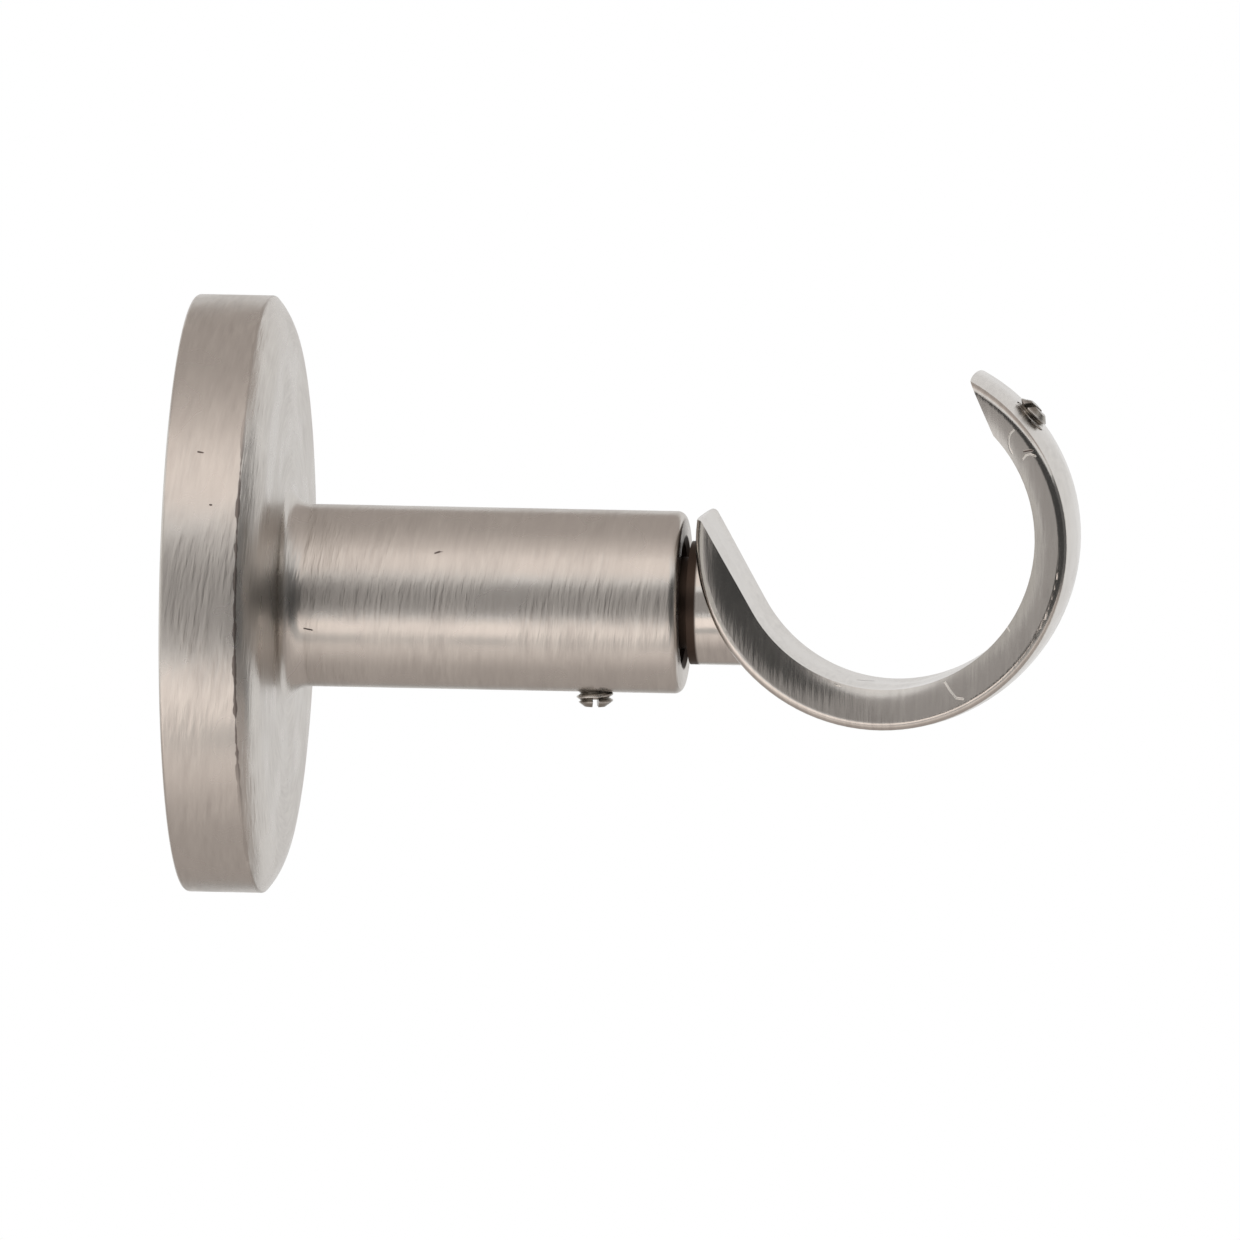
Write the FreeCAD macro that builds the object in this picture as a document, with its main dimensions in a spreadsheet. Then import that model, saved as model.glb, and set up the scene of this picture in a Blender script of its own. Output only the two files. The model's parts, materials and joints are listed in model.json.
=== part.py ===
import FreeCAD, Part
import math
import os
import Sketcher

# Curtain pole bracket for a 28 mm pole, in satin nickel.
# A round rose and its barrel are one casting, held to the wall by a plate hidden in the rose.
# A second casting, the hook, slides in the bored barrel on a round spigot.
# Origin: centre of the rose's wall face. X runs out of the wall along the barrel, Y runs along
# the pole, Z is up. All sizes are in millimetres, and every radius is a radius, not a diameter.

SIZES = {
    # rose: the round foot of the casting
    "rose_radius": 30.0,
    "rim_length": 7.7,
    "shoulder_width": 5.0,
    "shoulder_rise": 2.0,
    "shoulder_radius": 7.9,
    "face_rise": 0.15,
    "rose_back_rounding": 0.4,
    "rose_front_rounding": 0.25,
    "rose_wall": 3.0,
    "rose_floor": 2.5,
    "cavity_rounding": 0.8,
    # barrel: the tube that carries the hook
    "barrel_radius": 9.15,
    "barrel_length": 49.75,
    "barrel_root_radius": 2.4,
    "mouth_rounding": 0.9,
    "barrel_wall": 2.9,
    "bore_depth": 31.75,
    "mouth_chamfer": 0.35,
    # screws, all M4 with a plain turned point
    "thread_radius": 1.85,
    "thread_clearance": 0.05,
    "point_radius": 1.1,
    "point_length": 0.5,
    "screw_end_chamfer": 0.45,
    "seat_clearance": 0.1,
    "barrel_screw_setback": 9.0,
    "barrel_screw_proud": 1.5,
    "rose_screw_height": 3.0,
    "rose_screw_sink": 0.3,
    "pole_screw_angle": 41.0,
    "pole_screw_stand_in": 0.18,
    "pole_screw_proud": 0.7,
    # wall plate: the cast disc inside the rose, narrower at the wall
    "plate_clearance": 0.6,
    "plate_undercut": 1.9,
    "plate_gap": 0.7,
    "plate_edge": 1.1,
    "wall_hole_radius": 2.25,
    "wall_hole_inset": 9.4,
    "wall_hole_countersink": 2.0,
    # spigot and boss of the hook casting
    "spigot_clearance": 0.05,
    "spigot_lead": 0.6,
    "spigot_flat_depth": 0.8,
    "neck_step": 1.6,
    "neck_length": 2.0,
    "boss_gap": 0.7,
    "boss_inset": 1.5,
    "boss_run_in": 0.9,
    # hook: the open ring that holds the pole
    "hook_gap": 1.43,
    "pole_rise": 7.38,
    "pole_seat_radius": 15.2,
    "hook_wall": 3.8,
    "hook_thinning_out": 0.22,
    "hook_thinning_up": 0.58,
    "hook_half_width": 7.7,
    "hook_side_crown": 11.0,
    "hook_side_crest": 3.0,
    "hook_outer_crown": 84.0,
    "hook_corner_rounding": 0.9,
    "hook_stock": 1.0,
    "slot_margin": 0.5,
    "left_run_angle": 119.8,
    "left_run_length": 10.13,
    "left_bevel_angle": 45.0,
    "flare_start_angle": 44.1,
    "flare_angle": 114.0,
    "flare_length": 6.05,
    "right_exit_angle": 50.0,
    "tip_rounding": 0.6,
}

# Places that several pieces share, as sums of the sizes above
CAVITY_RADIUS = "rose_radius - rose_wall"
CAVITY_DEPTH = "rim_length - rose_floor"
BORE_RADIUS = "barrel_radius - barrel_wall"
SPIGOT_RADIUS = BORE_RADIUS + " - spigot_clearance"
SPIGOT_FLAT = SPIGOT_RADIUS + " - spigot_flat_depth"
HOLE_RADIUS = "thread_radius + thread_clearance"
PLATE_RADIUS = CAVITY_RADIUS + " - plate_clearance"
PLATE_THICKNESS = CAVITY_DEPTH + " - plate_gap"
HOOK_RADIUS = "pole_seat_radius + hook_wall"
RING_REACH = "barrel_length + hook_gap + " + HOOK_RADIUS
RING_RISE = "pole_rise - hook_thinning_up"

doc = FreeCAD.newDocument("curtain_pole_bracket")
sheet = doc.addObject("Spreadsheet::Sheet", "Sizes")
for row, (size_name, size_value) in enumerate(SIZES.items(), start=1):
    sheet.set("A%d" % row, size_name)
    sheet.set("B%d" % row, str(size_value))
    sheet.setAlias("B%d" % row, size_name)
doc.recompute()

# The sketcher's own numbers for its two axes and for the points of an edge
H_AXIS, V_AXIS = range(-1, -3, -1)
START, END, CENTRE = range(1, 4)

# Two places or radii nearer than this are the same
SAME = 1e-3

# A cut of less than this many cubic millimetres has cut nothing
LEAST_CUT = 0.01


def measure(text):
    """Add up a sum of named sizes, such as 'barrel_length - bore_depth'."""
    total = 0.0
    sign = 1.0
    for word in text.split():
        if word in "+-":
            sign = 1.0 if word == "+" else -1.0
        elif word != "0":
            total += sign * float(sheet.get(word))
    return total


def formula(text):
    """The same sum as an expression that reads the sheet."""
    return "(" + " ".join(word if word in "+-" else "Sizes." + word for word in text.split()) + ")"


def flipped(text):
    """The sum with every sign turned round."""
    signs = {"+": "-", "-": "+"}
    words = text.split()
    if words[0] not in signs:
        words.insert(0, "+")
    return " ".join(signs.get(word, word) for word in words)


def new_body(name):
    body = doc.addObject("PartDesign::Body", name)
    body.Label = name
    return body


def new_sketch(body, name, role):
    """A sketch on one of the body's own origin planes."""
    sketch = body.newObject("Sketcher::SketchObject", name)
    plane = next(item for item in body.Origin.OriginFeatures if item.Role == role)
    sketch.AttachmentSupport = [(plane, "")]
    sketch.MapMode = "FlatFace"
    return sketch


def hold(sketch, kind, *target, at):
    """A dimension whose value follows a sum of sizes."""
    index = sketch.addConstraint(Sketcher.Constraint(kind, *target, measure(at)))
    sketch.setExpression("Constraints[%d]" % index, formula(at))


def hold_angle(sketch, line, at, turned=0):
    """A line's direction in degrees from the horizontal, turned by a whole or half turn."""
    angle = math.radians(measure(at) + turned)
    index = sketch.addConstraint(Sketcher.Constraint("Angle", line, angle))
    sketch.setExpression("Constraints[%d]" % index, "(%s + %d) * 1 deg" % (formula(at), turned))


def hold_rise(sketch, first, second, radius, angle):
    """The height between two points, as a radius times the sine of an angle in degrees."""
    rise = measure(radius) * math.sin(math.radians(measure(angle)))
    index = sketch.addConstraint(Sketcher.Constraint("DistanceY", *first, *second, rise))
    sketch.setExpression("Constraints[%d]" % index,
                         "%s * sin(%s * 1 deg)" % (formula(radius), formula(angle)))


def pin(sketch, edge, end, across, up):
    """Hold one point of a sketch at two sums of sizes from the sketch's origin."""
    if across == "0":
        sketch.addConstraint(Sketcher.Constraint("PointOnObject", edge, end, V_AXIS))
    else:
        hold(sketch, "DistanceX", H_AXIS, START, edge, end, at=across)
    if up == "0":
        sketch.addConstraint(Sketcher.Constraint("PointOnObject", edge, end, H_AXIS))
    else:
        hold(sketch, "DistanceY", H_AXIS, START, edge, end, at=up)


def place(across, up):
    return FreeCAD.Vector(measure(across), measure(up), 0)


def outline(sketch, corners):
    """A closed outline of straight sides through corners that are given as sums of sizes."""
    points = [place(*corner) for corner in corners]
    for index, point in enumerate(points):
        sketch.addGeometry(Part.LineSegment(point, points[(index + 1) % len(points)]), False)
    for index, corner in enumerate(corners):
        after = (index + 1) % len(corners)
        sketch.addConstraint(Sketcher.Constraint("Coincident", index, END, after, START))
        pin(sketch, index, START, *corner)


def circle(sketch, across, up, radius):
    ring = Part.Circle(place(across, up), FreeCAD.Vector(0, 0, 1), measure(radius))
    index = sketch.addGeometry(ring, False)
    hold(sketch, "Radius", index, at=radius)
    pin(sketch, index, CENTRE, across, up)


def revolve(body, name, sketch, axis):
    turned = body.newObject("PartDesign::Revolution", name)
    turned.Profile = sketch
    turned.ReferenceAxis = (sketch, [axis])
    turned.Angle = 360
    doc.recompute()


def pocket(body, name, sketch, depth, backwards=False):
    """Cut to a named depth; backwards cuts along the sketch's normal instead of against it."""
    before = body.Shape.Volume
    cut = body.newObject("PartDesign::Pocket", name)
    cut.Profile = sketch
    cut.Type = "Length"
    cut.setExpression("Length", formula(depth))
    cut.Reversed = backwards
    doc.recompute()
    if not body.Shape.Volume < before - LEAST_CUT:
        raise ValueError(name + " cut nothing")


def through_pocket(body, name, sketch):
    before = body.Shape.Volume
    cut = body.newObject("PartDesign::Pocket", name)
    cut.Profile = sketch
    cut.Type = "ThroughAll"
    cut.Midplane = True
    doc.recompute()
    if not body.Shape.Volume < before - LEAST_CUT:
        raise ValueError(name + " cut nothing")


def dress(body, kind, name, wanted, size, amount):
    """Round or chamfer the edges of the body's tip that the test picks."""
    tip = body.Tip
    names = ["Edge%d" % (i + 1) for i, edge in enumerate(tip.Shape.Edges) if wanted(edge)]
    if not names:
        raise ValueError(name + " found no edge")
    feature = body.newObject("PartDesign::" + kind, name)
    feature.Base = (tip, names)
    feature.setExpression(size, formula(amount))
    doc.recompute()


def is_ring(edge, across, radius):
    """A round edge about the X axis of its body, at a place and of a radius given as sums."""
    if not isinstance(edge.Curve, Part.Circle):
        return False
    curve = edge.Curve
    on_axis = abs(abs(curve.Axis.x) - 1) < SAME and math.hypot(curve.Center.y, curve.Center.z) < SAME
    return on_axis and abs(curve.Center.x - across) < SAME and abs(curve.Radius - radius) < SAME


# Rose and barrel casting: a turned form, hollow behind the rose and bored from the mouth
def make_base():
    body = new_body("rose_and_barrel")
    profile = new_sketch(body, "BaseProfile", "XZ_Plane")
    corners = [
        ("0", "0"),
        ("0", "rose_radius"),
        ("rim_length", "rose_radius"),
        ("rim_length + shoulder_rise", "rose_radius - shoulder_width"),
        ("rim_length + shoulder_rise + face_rise", "barrel_radius"),
        ("barrel_length", "barrel_radius"),
        ("barrel_length", "0"),
    ]
    points = [place(*corner) for corner in corners]
    shoulder = corners.index(("rim_length", "rose_radius"))
    for index, point in enumerate(points):
        after = points[(index + 1) % len(points)]
        if index == shoulder:
            chord = after - point
            middle = (point + after) * 0.5
            bulge = chord.Length ** 2 / (8 * measure("shoulder_radius"))
            outward = FreeCAD.Vector(chord.y, -chord.x, 0).normalize()
            profile.addGeometry(Part.Arc(point, middle + outward * bulge, after), False)
        else:
            profile.addGeometry(Part.LineSegment(point, after), False)
    arc = profile.Geometry[shoulder]
    arc_first = (arc.StartPoint - points[shoulder]).Length < SAME
    for index, corner in enumerate(corners):
        after = (index + 1) % len(corners)
        leave = END
        arrive = START
        if index == shoulder and not arc_first:
            leave = START
        if after == shoulder and not arc_first:
            arrive = END
        profile.addConstraint(Sketcher.Constraint("Coincident", index, leave, after, arrive))
        if index != shoulder:
            pin(profile, index, START, *corner)
    pin(profile, shoulder, START if arc_first else END, *corners[shoulder])
    hold(profile, "Radius", shoulder, at="shoulder_radius")
    revolve(body, "BaseTurning", profile, "H_Axis")

    root_across = measure("rim_length + shoulder_rise + face_rise")
    root_radius = measure("barrel_radius")
    dress(body, "Fillet", "BarrelRoot", lambda e: is_ring(e, root_across, root_radius),
          "Radius", "barrel_root_radius")
    mouth = measure("barrel_length")
    dress(body, "Fillet", "MouthRounding", lambda e: is_ring(e, mouth, root_radius),
          "Radius", "mouth_rounding")
    rose = measure("rose_radius")
    dress(body, "Fillet", "RoseBackRounding", lambda e: is_ring(e, 0, rose),
          "Radius", "rose_back_rounding")
    rim = measure("rim_length")
    dress(body, "Fillet", "RoseFrontRounding", lambda e: is_ring(e, rim, rose),
          "Radius", "rose_front_rounding")

    hollow = new_sketch(body, "CavityOutline", "YZ_Plane")
    circle(hollow, "0", "0", CAVITY_RADIUS)
    pocket(body, "Cavity", hollow, CAVITY_DEPTH, backwards=True)
    floor = measure(CAVITY_DEPTH)
    wall = measure(CAVITY_RADIUS)
    dress(body, "Fillet", "CavityRounding", lambda e: is_ring(e, floor, wall),
          "Radius", "cavity_rounding")

    bore = new_sketch(body, "BoreOutline", "YZ_Plane")
    bore.setExpression("AttachmentOffset.Base.z", formula("barrel_length"))
    circle(bore, "0", "0", BORE_RADIUS)
    pocket(body, "Bore", bore, "bore_depth")
    bore_radius = measure(BORE_RADIUS)
    dress(body, "Chamfer", "MouthChamfer", lambda e: is_ring(e, mouth, bore_radius),
          "Size", "mouth_chamfer")

    tapping = new_sketch(body, "BarrelScrewHoleOutline", "XY_Plane")
    circle(tapping, "barrel_length - barrel_screw_setback", "0", HOLE_RADIUS)
    pocket(body, "BarrelScrewHole", tapping, "barrel_radius")

    rim_tapping = new_sketch(body, "RoseScrewHoleOutline", "XY_Plane")
    rim_tapping.setExpression("AttachmentOffset.Base.z", formula(flipped(PLATE_RADIUS)))
    circle(rim_tapping, "rose_screw_height", "0", HOLE_RADIUS)
    pocket(body, "RoseScrewHole", rim_tapping, "rose_radius")
    return body


# Wall plate: a bevelled disc with two countersunk holes for the wall screws
def make_wall_plate():
    body = new_body("wall_plate")
    profile = new_sketch(body, "PlateProfile", "XZ_Plane")
    outline(profile, [
        ("0", "0"),
        ("0", PLATE_RADIUS + " - plate_undercut"),
        (PLATE_THICKNESS + " - plate_edge", PLATE_RADIUS),
        (PLATE_THICKNESS, PLATE_RADIUS),
        (PLATE_THICKNESS, "0"),
    ])
    revolve(body, "PlateTurning", profile, "H_Axis")
    holes = new_sketch(body, "WallHoleOutlines", "YZ_Plane")
    hole_height = PLATE_RADIUS + " - wall_hole_inset"
    circle(holes, "0", hole_height, "wall_hole_radius")
    circle(holes, "0", flipped(hole_height), "wall_hole_radius")
    pocket(body, "WallHoles", holes, PLATE_THICKNESS, backwards=True)
    front = measure(PLATE_THICKNESS)
    hole_radius = measure("wall_hole_radius")

    def is_hole_mouth(edge):
        if not isinstance(edge.Curve, Part.Circle):
            return False
        return abs(edge.Curve.Center.x - front) < SAME and abs(edge.Curve.Radius - hole_radius) < SAME

    dress(body, "Chamfer", "Countersinks", is_hole_mouth, "Size", "wall_hole_countersink")
    return body


# Hook casting: crowned ring with its slot, then the boss, neck and spigot on the barrel's axis
def heading(centre, point):
    return math.atan2(point.y - centre.y, point.x - centre.x)


def arc(centre, first, last):
    """The arc from one point round to another, anticlockwise."""
    ring = Part.Circle(centre, FreeCAD.Vector(0, 0, 1), (first - centre).Length)
    stop = heading(centre, last)
    if stop < heading(centre, first):
        stop += 2 * math.pi
    return Part.ArcOfCircle(ring, heading(centre, first), stop)


def meeting_point(first, first_radius, second, second_radius):
    """The crossing of two circles that lies further out."""
    gap = second - first
    along = (first_radius ** 2 - second_radius ** 2 + gap.Length ** 2) / (2 * gap.Length)
    rise = math.sqrt(first_radius ** 2 - along ** 2)
    unit = gap * (1 / gap.Length)
    aside = FreeCAD.Vector(-unit.y, unit.x, 0) * rise
    crossings = [first + unit * along + aside, first + unit * along - aside]
    return max(crossings, key=lambda point: point.x + point.y)


def beyond(centre, point, radius):
    """The place at a radius from the centre, on the line through the point."""
    return centre + (point - centre) * (radius / (point - centre).Length)


def mirrored(point):
    return FreeCAD.Vector(point.x, -point.y, 0)


def draw_ring_section(sketch):
    """Section of the ring: crowned flanks, rounded corners, and a faintly crowned outer side."""
    inner = "pole_seat_radius - hook_stock"
    flank_centre = ("pole_seat_radius + hook_side_crest", "hook_half_width - hook_side_crown")
    flank = place(*flank_centre)
    outer_centre = (HOOK_RADIUS + " - hook_outer_crown", "0")
    outer = place(*outer_centre)
    crown = measure("hook_side_crown")
    outer_crown = measure("hook_outer_crown")
    rounding = measure("hook_corner_rounding")
    corner = meeting_point(flank, crown - rounding, outer, outer_crown - rounding)
    on_flank = beyond(flank, corner, crown)
    on_outside = beyond(outer, corner, outer_crown)
    inner_x = measure(inner)
    inner_end = FreeCAD.Vector(inner_x, flank.y + math.sqrt(crown ** 2 - (inner_x - flank.x) ** 2), 0)

    low_flank, low_corner, outside, high_corner, high_flank, inside = range(6)
    for edge in [
        arc(mirrored(flank), mirrored(inner_end), mirrored(on_flank)),
        arc(mirrored(corner), mirrored(on_flank), mirrored(on_outside)),
        arc(outer, mirrored(on_outside), on_outside),
        arc(corner, on_outside, on_flank),
        arc(flank, on_flank, inner_end),
        Part.LineSegment(inner_end, mirrored(inner_end)),
    ]:
        sketch.addGeometry(edge, False)
    for first in (low_flank, low_corner, outside, high_corner):
        sketch.addConstraint(Sketcher.Constraint("Tangent", first, END, first + 1, START))
    sketch.addConstraint(Sketcher.Constraint("Coincident", high_flank, END, inside, START))
    sketch.addConstraint(Sketcher.Constraint("Coincident", inside, END, low_flank, START))
    sketch.addConstraint(Sketcher.Constraint("Vertical", inside))
    hold(sketch, "DistanceX", H_AXIS, START, inside, START, at=inner)
    pin(sketch, low_flank, CENTRE, flank_centre[0], flipped(flank_centre[1]))
    pin(sketch, high_flank, CENTRE, *flank_centre)
    pin(sketch, outside, CENTRE, *outer_centre)
    for edge, radius in [
        (low_flank, "hook_side_crown"),
        (high_flank, "hook_side_crown"),
        (outside, "hook_outer_crown"),
        (low_corner, "hook_corner_rounding"),
        (high_corner, "hook_corner_rounding"),
    ]:
        hold(sketch, "Radius", edge, at=radius)


def toward(angle):
    return FreeCAD.Vector(math.cos(angle), math.sin(angle), 0)


def draw_slot(sketch):
    """The pole's space: the seat, a straight run up to the left tip, a flare, and the open top."""
    seat = place("hook_thinning_out", "hook_thinning_up")
    seat_radius = measure("pole_seat_radius")
    rounding = measure("tip_rounding")
    far = measure(HOOK_RADIUS + " + slot_margin")
    run_angle = math.radians(measure("left_run_angle"))
    flare_angle = math.radians(measure("flare_angle"))
    exit_angle = math.radians(measure("right_exit_angle"))
    bevel_angle = math.radians(measure("left_bevel_angle"))

    seat_start = seat + toward(run_angle + math.pi / 2) * seat_radius
    left_tip = seat_start + toward(run_angle) * measure("left_run_length")
    left_round = left_tip + toward(run_angle + math.pi / 2) * rounding
    bevel_top = left_round + toward(bevel_angle + math.pi / 2) * rounding
    bevel_foot = bevel_top - toward(bevel_angle) * ((bevel_top.x + far) / math.cos(bevel_angle))
    flare_start = seat + toward(math.radians(measure("flare_start_angle"))) * seat_radius
    right_tip = flare_start + toward(flare_angle) * measure("flare_length")
    right_round = right_tip + toward(flare_angle - math.pi / 2) * rounding
    right_exit = right_round + toward(exit_angle) * rounding
    right_top = right_exit + toward(exit_angle) * ((far - right_exit.y) / math.sin(exit_angle))
    top_left = FreeCAD.Vector(-far, far, 0)

    bowl, flare, right_end, leave, top, side, bevel, left_end, run = range(9)
    for edge in [
        arc(seat, seat_start, flare_start),
        Part.LineSegment(flare_start, right_tip),
        arc(right_round, right_exit, right_tip),
        Part.LineSegment(right_exit, right_top),
        Part.LineSegment(right_top, top_left),
        Part.LineSegment(top_left, bevel_foot),
        Part.LineSegment(bevel_foot, bevel_top),
        arc(left_round, left_tip, bevel_top),
        Part.LineSegment(left_tip, seat_start),
    ]:
        sketch.addGeometry(edge, False)
    for joint in [
        (bowl, END, flare, START),
        (right_end, START, leave, START),
        (leave, END, top, START),
        (top, END, side, START),
        (side, END, bevel, START),
    ]:
        sketch.addConstraint(Sketcher.Constraint("Coincident", *joint))
    for joint in [
        (flare, END, right_end, END),
        (bevel, END, left_end, END),
        (left_end, START, run, START),
        (run, END, bowl, START),
    ]:
        sketch.addConstraint(Sketcher.Constraint("Tangent", *joint))
    pin(sketch, bowl, CENTRE, "hook_thinning_out", "hook_thinning_up")
    hold(sketch, "Radius", bowl, at="pole_seat_radius")
    hold(sketch, "Radius", right_end, at="tip_rounding")
    hold(sketch, "Radius", left_end, at="tip_rounding")
    hold_angle(sketch, flare, at="flare_angle")
    hold_angle(sketch, leave, at="right_exit_angle")
    hold_angle(sketch, bevel, at="left_bevel_angle")
    hold_angle(sketch, run, at="left_run_angle", turned=-180)
    sketch.addConstraint(Sketcher.Constraint("PointOnObject", right_end, CENTRE, leave))
    sketch.addConstraint(Sketcher.Constraint("Horizontal", top))
    sketch.addConstraint(Sketcher.Constraint("Vertical", side))
    hold_rise(sketch, (bowl, CENTRE), (bowl, END), "pole_seat_radius", "flare_start_angle")
    hold(sketch, "Distance", flare, at="flare_length")
    hold(sketch, "Distance", run, at="left_run_length")
    corner = HOOK_RADIUS + " + slot_margin"
    pin(sketch, side, START, flipped(corner), corner)


def make_hook():
    body = new_body("hook_arm")
    body.setExpression("Placement.Base.x", formula(RING_REACH))
    body.setExpression("Placement.Base.z", formula(RING_RISE))

    section = new_sketch(body, "RingSection", "XY_Plane")
    draw_ring_section(section)
    revolve(body, "Ring", section, "V_Axis")

    spigot = new_sketch(body, "SpigotProfile", "XZ_Plane")
    spigot.setExpression("AttachmentOffset.Base.y", formula(flipped(RING_RISE)))
    mouth = flipped("hook_gap + " + HOOK_RADIUS)
    spigot_end = mouth + " - bore_depth + seat_clearance"
    boss_start = mouth + " + boss_gap"
    boss_end = "hook_thinning_out - pole_seat_radius + boss_run_in"
    neck_radius = SPIGOT_RADIUS + " - neck_step"
    boss_radius = "hook_half_width - boss_inset"
    outline(spigot, [
        (spigot_end, "0"),
        (spigot_end, SPIGOT_RADIUS + " - spigot_lead"),
        (spigot_end + " + spigot_lead", SPIGOT_RADIUS),
        (boss_start + " - neck_length", SPIGOT_RADIUS),
        (boss_start + " - neck_length", neck_radius),
        (boss_start, neck_radius),
        (boss_start, boss_radius),
        (boss_end, boss_radius),
        (boss_end, "0"),
    ])
    revolve(body, "Spigot", spigot, "H_Axis")

    slot = new_sketch(body, "PoleSlot", "XZ_Plane")
    draw_slot(slot)
    through_pocket(body, "PoleSpace", slot)

    flat = new_sketch(body, "SpigotFlatOutline", "XZ_Plane")
    flat.setExpression("AttachmentOffset.Base.y", formula(flipped(RING_RISE)))
    flat_top = flipped(SPIGOT_FLAT)
    flat_foot = flipped(BORE_RADIUS) + " - slot_margin"
    outline(flat, [
        (spigot_end + " - slot_margin", flat_top),
        (boss_start + " - neck_length", flat_top),
        (boss_start + " - neck_length", flat_foot),
        (spigot_end + " - slot_margin", flat_foot),
    ])
    through_pocket(body, "SpigotFlat", flat)

    tapping = new_sketch(body, "PoleScrewHoleOutline", "XY_Plane")
    tapping.AttachmentOffset = FreeCAD.Placement(FreeCAD.Vector(0, 0, 0),
                                                 FreeCAD.Rotation(FreeCAD.Vector(0, 1, 0), 45))
    tapping.setExpression("AttachmentOffset.Rotation.Angle", "90 deg - Sizes.pole_screw_angle * 1 deg")
    tapping.setExpression("AttachmentOffset.Base.x", formula("hook_thinning_out"))
    tapping.setExpression("AttachmentOffset.Base.z", formula("hook_thinning_up"))
    circle(tapping, "0", "0", HOLE_RADIUS)
    pocket(body, "PoleScrewHole", tapping, HOOK_RADIUS + " + slot_margin", backwards=True)
    return body


# Headless set screws: a chamfered outer end and a short turned point; local Z runs out of the hole
def make_screw(name, length):
    body = new_body(name)
    profile = new_sketch(body, name + "_profile", "XZ_Plane")
    outline(profile, [
        ("0", "0"),
        ("point_radius", "0"),
        ("thread_radius", "point_length"),
        ("thread_radius", length + " - screw_end_chamfer"),
        ("thread_radius - screw_end_chamfer", length),
        ("0", length),
    ])
    revolve(body, name + "_turning", profile, "V_Axis")
    return body


def make_screws():
    barrel_screw_tip = SPIGOT_FLAT + " + seat_clearance"
    barrel_screw_end = "barrel_radius + barrel_screw_proud"
    barrel_screw = make_screw("barrel_set_screw", barrel_screw_end + " " + flipped(barrel_screw_tip))
    barrel_screw.Placement.Rotation = FreeCAD.Rotation(FreeCAD.Vector(1, 0, 0), 180)
    barrel_screw.setExpression("Placement.Base.x", formula("barrel_length - barrel_screw_setback"))
    barrel_screw.setExpression("Placement.Base.z", formula(flipped(barrel_screw_tip)))

    rose_screw_tip = PLATE_RADIUS + " + seat_clearance"
    rose_screw_end = "rose_radius - rose_screw_sink"
    rose_screw = make_screw("rose_grub_screw", rose_screw_end + " " + flipped(rose_screw_tip))
    rose_screw.Placement.Rotation = FreeCAD.Rotation(FreeCAD.Vector(1, 0, 0), 180)
    rose_screw.setExpression("Placement.Base.x", formula("rose_screw_height"))
    rose_screw.setExpression("Placement.Base.z", formula(flipped(rose_screw_tip)))

    pole_screw_length = "pole_screw_stand_in + hook_wall - hook_thinning_out + pole_screw_proud"
    pole_screw = make_screw("pole_screw", pole_screw_length)
    pole_screw.Placement.Rotation = FreeCAD.Rotation(FreeCAD.Vector(0, 1, 0), 45)
    pole_screw.setExpression("Placement.Rotation.Angle", "90 deg - Sizes.pole_screw_angle * 1 deg")
    tip = formula("pole_seat_radius - pole_screw_stand_in")
    lean = "(Sizes.pole_screw_angle * 1 deg)"
    pole_reach = formula(RING_REACH + " + hook_thinning_out")
    pole_screw.setExpression("Placement.Base.x", "%s + %s * cos%s" % (pole_reach, tip, lean))
    pole_screw.setExpression("Placement.Base.z", "Sizes.pole_rise + %s * sin%s" % (tip, lean))
    return [barrel_screw, rose_screw, pole_screw]


pieces = [make_base(), make_wall_plate(), make_hook()] + make_screws()
doc.recompute()
for item in doc.Objects:
    if "Invalid" in item.State or "Error" in item.State:
        raise ValueError(item.Name + " failed to build")
for piece in pieces:
    if piece.Shape.isNull() or not piece.Shape.isValid() or len(piece.Shape.Solids) != 1:
        raise ValueError(piece.Label + " is not one valid solid")
os.makedirs("parts", exist_ok=True)
for piece in pieces:
    piece.Shape.exportStep("parts/%s.step" % piece.Label)
    print(piece.Label, round(piece.Shape.Volume, 1), piece.Shape.BoundBox)
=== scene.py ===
import json
import math

import bmesh
import bpy
from mathutils import Matrix, Vector


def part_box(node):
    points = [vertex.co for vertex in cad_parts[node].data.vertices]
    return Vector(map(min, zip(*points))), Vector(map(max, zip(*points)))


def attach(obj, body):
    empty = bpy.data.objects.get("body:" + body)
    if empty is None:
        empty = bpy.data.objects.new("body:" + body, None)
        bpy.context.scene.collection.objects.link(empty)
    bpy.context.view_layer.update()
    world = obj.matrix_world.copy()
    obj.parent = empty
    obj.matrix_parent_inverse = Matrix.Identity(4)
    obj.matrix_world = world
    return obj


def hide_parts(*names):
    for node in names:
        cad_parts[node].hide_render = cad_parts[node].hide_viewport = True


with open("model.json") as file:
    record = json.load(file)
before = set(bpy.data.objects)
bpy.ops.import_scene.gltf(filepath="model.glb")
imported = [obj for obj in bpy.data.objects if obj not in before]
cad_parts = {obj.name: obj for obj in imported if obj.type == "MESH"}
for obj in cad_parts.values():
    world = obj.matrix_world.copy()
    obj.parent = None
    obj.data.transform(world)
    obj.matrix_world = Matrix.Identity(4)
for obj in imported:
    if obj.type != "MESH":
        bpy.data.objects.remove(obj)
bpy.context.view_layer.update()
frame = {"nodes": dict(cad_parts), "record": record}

# Rose and barrel
# One zinc casting, copper and nickel plated, brushed round its axis to a satin and lacquered. It hangs
# over the wall plate, and its bored barrel takes the hook's spigot. The strokes of the brush are under
# half a millimetre wide, and show where a dark reflection meets a bright one.


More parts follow.
